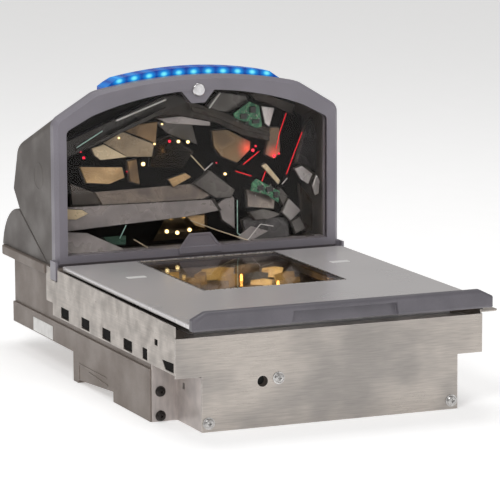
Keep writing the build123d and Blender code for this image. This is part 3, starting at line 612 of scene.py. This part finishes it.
def rear_details():
    """Louvre slots filled with painted shade and screws on the back, contacts in the sockets and pins in the
    inlet.
    """
    # Black slabs sunk into the back wall: painted shade inside the vent slots.
    mesh = bmesh.new()
    wall_foot_y, wall_foot_z, wall_slope = 217.4, 160, 12 / 35
    lowest_row_z, row_step, wall_lean, sunk = 166, 6.0, -18.9, 1.1
    for row in range(5):
        z = lowest_row_z + row * row_step
        y = wall_foot_y - (z - wall_foot_z) * wall_slope
        for x in (-62, 0, 62):
            place = (Matrix.Translation((x, y, z))
                     @ Matrix.Rotation(radians(90 + wall_lean), 4, "X")
                     @ Matrix.Translation((0, 0, -sunk)))
            add_slab(mesh, rounded(50, 2.6, 1.2), 1.4, place)
    finish_mesh("rear_louvre_shade", mesh, EXTRA["painted_shade_black"], "scanner", 0.2)
    mesh = bmesh.new()
    back = Matrix.Rotation(radians(-90), 4, "X")
    low, high = span("io_panel")
    for x in (low.x + 5, high.x - 5):
        for z in (low.z + 5, high.z - 5):
            place = Matrix.Translation((x, high.y, z)) @ back
            add_turned(mesh, [(3.0, 0, ""), (2.9, 0.9, ""), (2.2, 1.5, ""), (1.7, 1.55, ""),
                              (1.4, 1.5, "cross"), (1.2, 0.5, "cross")], place, 32)
    for x in (-120, 120):
        place = Matrix.Translation((x, housing_back, 74)) @ back
        add_turned(mesh, [(4.4, 0, ""), (4.3, 1.4, ""), (3.2, 2.3, ""), (2.2, 2.4, ""),
                          (1.9, 2.3, "cross"), (1.6, 0.9, "cross")], place, 32)
    finish_mesh("rear_screws", mesh, FINISHES["screw_zinc"], "scanner")
    mesh = bmesh.new()
    socket_step, contact_step = 20, 1.25
    for socket in range(4):
        socket_x = socket_low.x + 8 + socket * socket_step
        for contact in range(8):
            x = socket_x + (contact - 3.5) * contact_step
            add_thread(mesh, (x, socket_high.y - 3, socket_low.z + 11.2),
                       (x, socket_high.y - 12, socket_low.z + 8.4), 0.28)
    inlet_x, inlet_z = (inlet_low.x + inlet_high.x) / 2, (inlet_low.z + inlet_high.z) / 2
    for x, z in ((-3, -2.2), (3, -2.2), (-3, 2.6), (3, 2.6)):
        add_thread(mesh, (inlet_x + x, inlet_high.y - 12, inlet_z + z),
                   (inlet_x + x, inlet_high.y - 3.5, inlet_z + z), 0.8)
    finish_mesh("socket_contacts", mesh, EXTRA["contact_gold"], "scanner")


def housing_details():
    """Moulded ribs above the hand recesses and the shallow dimples of the side brackets."""
    mesh = bmesh.new()
    for side in (-1, 1):
        wall = on_side(side, pan_side - 0.4)
        for line in ([(22, 18.5), (22, 19.8), (-50, 19.8), (-50, 18.5)],
                     [(-4, 15.2), (-4, 16.2), (-54, 13.2), (-54, 12.2)],
                     [(24, 19.8), (22.6, 19.8), (22.6, 4.6), (24, 4.4)]):
            add_slab(mesh, line, 1.0, wall)
    finish_mesh("pan_ribs", mesh, FINISHES["housing_cast"], "scanner", 0.2)
    mesh = bmesh.new()
    dimple_x, dimple_z = 150.1, 84
    for side in (-1, 1):
        for y in (90, 36, -20, -76, -126, -160, -200):
            place = (Matrix.Translation((side * dimple_x, y, dimple_z))
                     @ Matrix.Rotation(radians(90 * side), 4, "Y"))
            add_turned(mesh, [(2.6, 0, ""), (2.5, 0.22, ""), (1.9, 0.40, ""), (1.2, 0.28, ""),
                              (0.5, 0.20, "")], place, 28)
    finish_mesh("bracket_rivets", mesh, FINISHES["bracket_sheet"], "scanner")


# ---- optics seen through the upright window ----
# finish, corner points (x, z) in mm, distance behind the first mirror plane in mm, then turn and
# tilt in degrees
WINDOW_SHAPES = {
    "facet_pale": ("cream", [(-98, 208), (-85, 211), (-60, 197), (-89, 196), (-95, 201)], 18, 6, -4),
    "facet_middle": ("tan", [(-84, 212), (-65, 222), (-33, 208), (-35, 196), (-60, 197)], 20, -4, 4),
    "facet_brown": ("umber", [(-64, 223), (-48, 228), (-29, 230), (-31, 209), (-47, 216)], 21, -10, 0),
    "band_tan": ("tan_light", [(-111, 191), (-88, 189), (-65, 187), (-63, 177), (-80, 172), (-105, 175)],
                 18, 8, -6),
    "band_end": ("umber", [(-61, 193), (-50, 194), (-46, 169), (-58, 173)], 20, 20, 0),
    "trapezoid": ("slate", [(-28, 229), (8, 226), (14, 205), (-16, 217)], 24, -6, 4),
    "well_left": ("dark_glass", [(-34, 208), (-12, 214), (12, 196), (2, 180), (-32, 184)], 28, 0, 12),
    "gold_chip": ("tan_light", [(-19, 173), (-1, 178), (5, 174), (-14, 165)], 16, 0, 0),
    "tile_brown": ("glow_brown", [(26, 218), (44, 218), (72, 204), (72, 196), (57, 184), (38, 192),
                                  (29, 202)], 20, 12, 4),
    "tile_tan": ("glow_tan", [(89, 218), (100, 217), (101, 193), (94, 187), (83, 192)], 16, 18, 0),
    "block_crown": ("slate", [(19, 244), (31, 257), (62, 251), (66, 244), (44, 236), (32, 238)], 12, 6, 10),
    "tile_white": ("silver", [(79, 240), (94, 237), (88, 219), (83, 223)], 15, 10, 0),
    "panel_top": ("umber_dark", [(66, 256), (90, 250), (118, 238), (116, 228), (96, 238), (74, 246)],
                  20, 0, 20),
    "panel_right": ("slate_dark", [(126, 222), (133, 226), (138, 212), (138, 172), (122, 181), (112, 184)],
                    9, 20, 0),
    "hexagon_left": ("silver", [(110, 177), (119, 179), (132, 170), (128, 160), (118, 166)], 7, 14, 8),
    "hexagon_right": ("silver", [(134, 169), (138, 163), (138, 150), (134, 149), (130, 158)], 6, 14, 8),
    "bar_cream": ("cream", [(78, 181), (83, 183), (99, 165), (97, 161)], 13, 8, 0),
    "plate_grey": ("tan_grey", [(64, 158), (76, 155), (94, 147), (92, 137), (63, 141)], 15, 6, -12),
    "tile_square": ("silver_dim", [(98, 134), (107, 147), (120, 134), (107, 125)], 9, 12, -8),
    "tile_blue": ("slate", [(98, 158), (107, 149), (101, 140), (96, 150)], 12, 16, 0),
    "tile_low": ("slate", [(108, 124), (118, 128), (124, 116), (112, 112)], 8, 10, -10),
    "wedge": ("slate", [(8, 167), (25, 179), (49, 159), (45, 152), (30, 152)], 14, -6, -8),
    "wedge_lower": ("slate_light", [(32, 146), (47, 154), (51, 150), (50, 120), (36, 130)], 15, 10, -4),
    "ledge_far": ("tan_grey", [(-94, 165), (8, 167), (29, 156), (16, 151), (-88, 152)], 18, 0, -20),
    "ledge_end": ("umber_dark", [(-120, 175), (-94, 164), (-87, 152), (-120, 154)], 18, 8, -10),
    "ledge_main": ("slate_light", [(-128, 153), (24, 151), (31, 140), (-3, 136), (-128, 130)], 10, 0, -6),
    "cream_corner": ("cream", [(-130, 152), (-112, 150), (-106, 146), (-118, 141), (-130, 142)], 8, 0, 0),
    "block_tan": ("tan_light", [(-3, 137), (17, 136), (17, 123), (8, 126)], 12, 0, 0),
    "floor_pale": ("slate_light", [(-134, 130), (-106, 127), (-60, 104), (-134, 104)], 8, 0, -16),
    "floor_green": ("bottle", [(-88, 121), (-64, 121), (-66, 112), (-82, 113)], 14, 0, -20),
    "floor_blue": ("slate_dark", [(58, 128), (74, 134), (106, 126), (106, 106), (62, 106)], 12, 0, -14),
    "facet_right_low": ("slate", [(64, 136), (80, 138), (97, 132), (86, 128), (70, 128)], 10, 0, -10),
    "sill_shine": ("slate_light", [(50, 112), (66, 122), (84, 116), (60, 106)], 9, 0, -10),
    "wall_right": ("umber_dark", [(118, 160), (126, 152), (134, 142), (134, 112), (124, 112)], 12, 16, 0),
}
STANDS_FOR = {"facet_pale": ("mirror_tower_left",), "facet_middle": ("mirror_tower_mid_left",),
              "tile_brown": ("mirror_tower_mid_right",), "tile_tan": ("mirror_tower_right",)}


def window_mirrors():
    """Tilted mirror plates behind the pane, each with a black moulded carrier at its back."""
    for name, (kind, corners, depth, turn, tilt) in WINDOW_SHAPES.items():
        cx = sum(corner[0] for corner in corners) / len(corners)
        cz = sum(corner[1] for corner in corners) / len(corners)
        outline = [(x - cx, z - cz) for x, z in corners]
        place = upright(cx, BEHIND_GLASS + OPTICS_GAP + depth, cz, turn, tilt)
        mesh = bmesh.new()
        add_slab(mesh, outline, -1.8, place)
        finish_mesh(name, mesh, INNER[kind], "scanner", 0.35, STANDS_FOR.get(name, ()))
        mesh = bmesh.new()
        carrier = [(x * 1.06, z * 1.06) for x, z in outline]
        add_slab(mesh, carrier, -2.4, place @ Matrix.Translation((0, 0, -1.9)))
        finish_mesh(name + "_carrier", mesh, FINISHES["inner_black"], "scanner", 0.3)


def threads(name, finish, paths, radius):
    """Thin rods along paths of (x, z) points, each path at a depth behind the first mirror plane."""
    mesh = bmesh.new()
    for depth, points in paths:
        y = BEHIND_GLASS + OPTICS_GAP + depth
        for (x0, z0), (x1, z1) in zip(points, points[1:]):
            add_thread(mesh, (x0, y, z0), (x1, y, z1), radius)
    finish_mesh(name, mesh, finish, "scanner")


def window_beams():
    """Roof-shaped dark beams with thin bright rods that are painted highlight lines, and the thin rods
    between the mirrors.
    """
    y = BEHIND_GLASS + OPTICS_GAP
    mesh = bmesh.new()
    add_slab(mesh, [(-132, 200), (-132, 215), (-26, 256), (-11, 257), (-1, 249), (-26, 240), (-84, 218)],
             -8, upright(0, y + 9, 0))
    add_slab(mesh, [(-123, 205), (-80, 225), (-27, 246), (-26, 242), (-84, 219)], -2, upright(0, y + 1.5, 0))
    finish_mesh("beam_left", mesh, FINISHES["inner_black"], "scanner", 0.5)
    mesh = bmesh.new()
    add_slab(mesh, [(-18, 246), (0, 250), (86, 218), (87, 205), (57, 213), (29, 227), (0, 234), (-35, 234)],
             -7, upright(0, y + 12, 0))
    add_slab(mesh, [(0, 246), (84, 214), (84, 211), (56, 219), (28, 232), (2, 240)], -2,
             upright(0, y + 4, 0))
    finish_mesh("beam_right", mesh, INNER["umber_dark"], "scanner", 0.5, ("optics_frame",))
    mesh = bmesh.new()
    add_slab(mesh, [(-35, 235), (-10, 236), (20, 229), (20, 225), (-24, 230)], -3, upright(0, y + 3, 0))
    add_slab(mesh, [(-140, 109), (140, 109), (140, 101), (-140, 101)], -10, upright(0, y + 1, 0))
    finish_mesh("cross_bar", mesh, INNER["slate_light"], "scanner", 0.4,
                ("mirror_holders",))
    # White and teal rods: painted highlight lines where light glints on the beams and plates.
    threads("highlight_line_white", INNER["glint"],
            [(0, [(-79, 236), (-27, 254)]), (6, [(20, 242), (32, 257)]), (5, [(8, 227), (20, 226)])], 0.95)
    threads("highlight_line_teal", INNER["glint_teal"],
            [(0, [(-120, 212), (-93, 227)]), (10, [(-66, 132), (-73, 119)]),
             (10, [(51, 149), (51, 116), (60, 110)])], 0.5)
    threads("rods_tan", INNER["cream"],
            [(12, [(3, 196), (17, 181)]), (5, [(-1, 133), (28, 121), (60, 109)]),
             (6, [(-60, 118), (-41, 106)])], 0.55)
    threads("rods_grey", INNER["silver"],
            [(12, [(26, 187), (17, 180)]), (6, [(60, 109), (74, 124), (88, 121)]),
             (8, [(104, 168), (98, 162)])], 0.5)


def window_lamps():
    """Small warm lamps, red scan spots and the fine red scan lines."""
    y = BEHIND_GLASS + OPTICS_GAP
    mesh = bmesh.new()
    for x, z, size in ((-46, 190, 1.9), (-9, 210, 1.5), (1, 209, 1.5), (-34, 209, 0.9), (-71, 217, 0.9),
                       (40, 175, 1.3), (-22, 122, 1.9), (-11, 120, 1.9), (2, 122, 1.9), (-26, 228, 0.8)):
        add_turned(mesh, [(size, 0, ""), (size, 1.2, ""), (size * 0.7, 2.2, ""), (size * 0.2, 2.7, "")],
                   from_front(x, y + 15, z), 20)
    finish_mesh("lamps_warm", mesh, EXTRA["lamp_warm"], "scanner")
    mesh = bmesh.new()
    for x, z, size in ((-108, 200, 1.3), (-111, 206, 0.7), (-19, 211, 1.3), (69, 197, 1.5), (72, 201, 0.9),
                       (92, 190, 1.5), (97, 192, 0.9), (-64, 184, 0.5), (30, 187, 0.5)):
        add_turned(mesh, [(size, 0, ""), (size, 0.8, ""), (size * 0.6, 1.8, ""), (0.3, 2.2, "")],
                   from_front(x, y + 13, z), 20)
    finish_mesh("lamps_red", mesh, EXTRA["lamp_red"], "scanner")
    threads("scan_lines", EXTRA["beam_red"],
            [(6, [(102, 233), (95, 214), (91, 198)]), (6, [(119, 213), (111, 194), (102, 172)]),
             (9, [(81, 176), (77, 166)]), (9, [(49, 178), (66, 172)]), (9, [(57, 184), (74, 196)])], 0.38)


def populate_board(name, outline, place, chips, replaces):
    """A green board with chips, small parts and a row of solder joints."""
    mesh = bmesh.new()
    add_slab(mesh, outline, -1.6, place)
    finish_mesh(name, mesh, FINISHES["board_green"], "scanner", 0.15, replaces)
    mesh = bmesh.new()
    for x, z, wide, tall, height in chips:
        add_slab(mesh, rectangle(wide, tall), height, place @ Matrix.Translation((x, z, 0)))
    finish_mesh(name + "_chips", mesh, FINISHES["chip_black"], "scanner", 0.2)
    mesh = bmesh.new()
    for k in range(9):
        spot = place @ Matrix.Translation((3 * k - 12, (k * 7) % 11 - 5, 0))
        add_turned(mesh, [(1.0, 0, ""), (0.9, 0.5, ""), (0.4, 1.1, "")], spot, 12)
    finish_mesh(name + "_joints", mesh, FINISHES["screw_zinc"], "scanner")


def window_boards():
    populate_board("board_crown", [(-16, 3), (1, 14), (12, 9), (16, -12), (9, -13), (-6, -5), (-15, -1)],
                   upright(63, 119, 232, 6, 4),
                   [(-6, 0, 7, 5, 2), (4, 6, 6, 6, 2.4), (8, -6, 8, 4, 1.6), (-2, -7, 4, 3, 1.5)],
                   ("imager_board_top",))
    populate_board("board_right", [(-14, 8), (-9, 11), (16, -3), (14, -14), (1, -5), (-16, 0)],
                   upright(80, 117, 158, 6, -6),
                   [(-6, 2, 6, 5, 2), (4, 0, 7, 5, 2), (11, -6, 5, 6, 2.4)], ("imager_board_side",))


def inner_shade_sheet():
    """Black sheet behind the optics: painted shade, so that the shells' insides read dark."""
    lining_y = 156
    right_half = [(136, 104), (136, 226), (104, 244), (40, 253)]
    left_half = [(-x, z) for x, z in reversed(right_half)]
    outline = [left_half[-1], *right_half, *left_half[:-1]]
    mesh = bmesh.new()
    add_slab(mesh, outline, -1.2, upright(0, lining_y, 0))
    finish_mesh("inner_shade_sheet", mesh, EXTRA["painted_shade_black"], "scanner")


# ---- optics under the platter window ----
# finish, width, height, middle (x, y) in mm, turn and lean in degrees
LOWER_TILES = [
    ("gold", 26, 12, (-48, 48), 24, 20), ("gold", 34, 13, (2, 52), -14, 26),
    ("umber", 30, 13, (36, 58), 10, 16),
    ("gold", 22, 11, (56, 44), -26, 22), ("tan_light", 18, 13, (-22, 34), 30, 14),
    ("umber", 34, 12, (-46, 16), -12, 24), ("gold", 30, 13, (-2, 12), 26, 30),
    ("slate", 24, 11, (30, 22), -18, 14), ("gold", 26, 12, (54, 8), 16, 28),
    ("umber", 26, 12, (-24, -14), 12, 18), ("gold", 22, 12, (18, -18), -24, 26),
    ("tan_light", 28, 12, (46, -24), 20, 20), ("gold", 18, 10, (-52, -26), 32, 22),
    ("umber", 32, 12, (-6, -46), -8, 22), ("gold", 24, 11, (38, -58), 18, 26),
    ("cream", 9, 7, (-30, -60), 10, 16), ("cream", 8, 7, (14, -70), 24, 20),
    ("gold", 20, 10, (-50, -72), -20, 24), ("slate", 30, 9, (6, -84), 6, 18),
]


def lower_optics():
    """Amber-toned plates and lamps that stand between the platter's pane and the deck glass."""
    deck_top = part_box("deck_glass")[1].z / MM
    for index, (kind, width, height, (x, y), turn, lean) in enumerate(LOWER_TILES):
        mesh = bmesh.new()
        place = upright(x, y, deck_top + 0.5 + height / 2, turn, -lean)
        skewed = [(-width / 2, -height / 2), (width * 0.42, -height / 2), (width / 2, height * 0.4),
                  (width * 0.1, height / 2), (-width * 0.44, height * 0.36)]
        add_slab(mesh, skewed, -1.6, place)
        finish_mesh(f"lower_tile_{index + 1}", mesh, INNER[kind], "scanner", 0.3)
    # Black sheet under the lower optics: painted shade below the platter window.
    mesh = bmesh.new()
    add_slab(mesh, rounded(150, 172, 4), 0.6, Matrix.Translation((0, -12, 33)))
    finish_mesh("lower_shade_sheet", mesh, EXTRA["painted_shade_black"], "scanner")
    mesh = bmesh.new()
    for x, y, size in ((-58, 34, 1.6), (22, 40, 1.4), (64, 26, 1.5), (-14, 0, 1.5),
                       (40, -8, 1.6), (-38, -44, 1.5), (24, -40, 1.4), (62, -46, 1.6)):
        add_turned(mesh, [(size, 0, ""), (size, 5.0, ""), (size * 0.8, 6.2, ""), (0.3, 6.8, "")],
                   Matrix.Translation((x, y, deck_top + 0.3)), 16)
    finish_mesh("lower_lamps", mesh, EXTRA["lamp_amber"], "scanner")


# ---- painted shade in the side brackets' slots and gap, and in the finger recesses ----
# middle and width along Y of each slot, in mm
SIDE_SLOTS = ((64, 22), (7.5, 22), (-48.5, 22), (-104, 22), (-147, 12))
SLOT_LOW_Z, SLOT_HIGH_Z = 55.7, 65
NOTCH = [(-189.6, 62.5), (-197, 54.8), (-217.5, 54.8), (-217.5, 63.6)]
SMALL_HOLE = [(-179, 72.5), (-171, 72.5), (-171, 78), (-179, 78)]
RECESS_WALL = [(26.6, 0.3), (26.6, 2.9), (-66.6, 9.3), (-66.6, 0.3)]
BRACKET_INNER_FACE = 148.9
RECESS_INNER_FACE = 120.1


def slot_shade_plates():
    """Black plates in the brackets' slots, notches and small holes, and on the recess walls: painted shade
    where those openings read dark.
    """
    # Black plates in the slots, the notch and the small hole: painted shade in the openings.
    mesh = bmesh.new()
    for side in (-1, 1):
        wall = on_side(side, BRACKET_INNER_FACE)
        for middle, width in SIDE_SLOTS:
            start, end = middle - width / 2, middle + width / 2
            add_slab(mesh, [(start, SLOT_LOW_Z), (end, SLOT_LOW_Z), (end, SLOT_HIGH_Z),
                            (start, SLOT_HIGH_Z)], 0.5, wall)
        add_slab(mesh, SMALL_HOLE, 0.4, wall)
        add_slab(mesh, NOTCH, 0.6, wall)
    finish_mesh("slot_shade_plates", mesh, EXTRA["painted_shade_black"], "scanner")
    # Black plates on the recess walls: painted shade in the finger recesses.
    mesh = bmesh.new()
    for side in (-1, 1):
        add_slab(mesh, RECESS_WALL, 0.3, on_side(side, RECESS_INNER_FACE))
    finish_mesh("hand_recess_shade_plates", mesh, EXTRA["painted_shade_black"], "scanner")


def build():
    add_camera()
    dress_nodes()
    screws()
    platter_marks()
    platter_gap_shade()
    side_recess()
    rear_details()
    housing_details()
    window_mirrors()
    window_beams()
    window_lamps()
    window_boards()
    inner_shade_sheet()
    lower_optics()
    slot_shade_plates()


def set_tones():
    view = bpy.context.scene.view_settings
    view.view_transform, view.look, view.exposure, view.gamma = "Standard", "None", 0.0, 1.0


def add_world():
    """White behind the object, and a softer grey light all round it."""
    world = bpy.data.worlds.new("world")
    world.use_nodes = True
    tree = world.node_tree
    tree.nodes.clear()
    seen = put(tree, "Background", {"Color": rgb((1.0, 1.0, 1.0)), "Strength": 1.0})
    glow = put(tree, "Background", {"Color": rgb((1.0, 0.985, 0.97)), "Strength": 0.30})
    rays = put(tree, "LightPath")
    mixed = put(tree, "MixShader", {0: rays.outputs["Is Camera Ray"], 1: glow.outputs[0],
                                    2: seen.outputs[0]})
    out = put(tree, "OutputWorld")
    tree.links.new(mixed.outputs[0], out.inputs["Surface"])
    bpy.context.scene.world = world


def add_stage():
    """Pale floor, pale surroundings and three large soft lamps."""
    mesh = bmesh.new()
    add_slab(mesh, rounded(9000, 9000, 500), -10, Matrix.Translation((0, 0, cad_low.z / MM)))
    mesh.transform(Matrix.Scale(MM, 4))
    data = bpy.data.meshes.new("floor")
    mesh.to_mesh(data)
    mesh.free()
    data.materials.append(surface("floor_paper", (0.90, 0.90, 0.90), (0.88, 0.88, 0.88), 0.9,
                                  grain=(300, 0.05), rough_range=0.05,
                                  fixed={"Emission Color": rgb((1.0, 1.0, 1.0)),
                                         "Emission Strength": 0.42}))
    floor = bpy.data.objects.new("floor", data)
    bpy.context.scene.collection.objects.link(floor)
    add_world()
    middle = (0, 0, 0.12)
    add_lamp("key", (-1.3, -1.5, 1.9), middle, 1.0, 19)
    add_lamp("fill", (1.6, -1.9, 0.9), middle, 1.2, 6)
    add_lamp("top", (0.1, 0.5, 2.2), middle, 1.2, 15)


build()
add_stage()
set_tones()
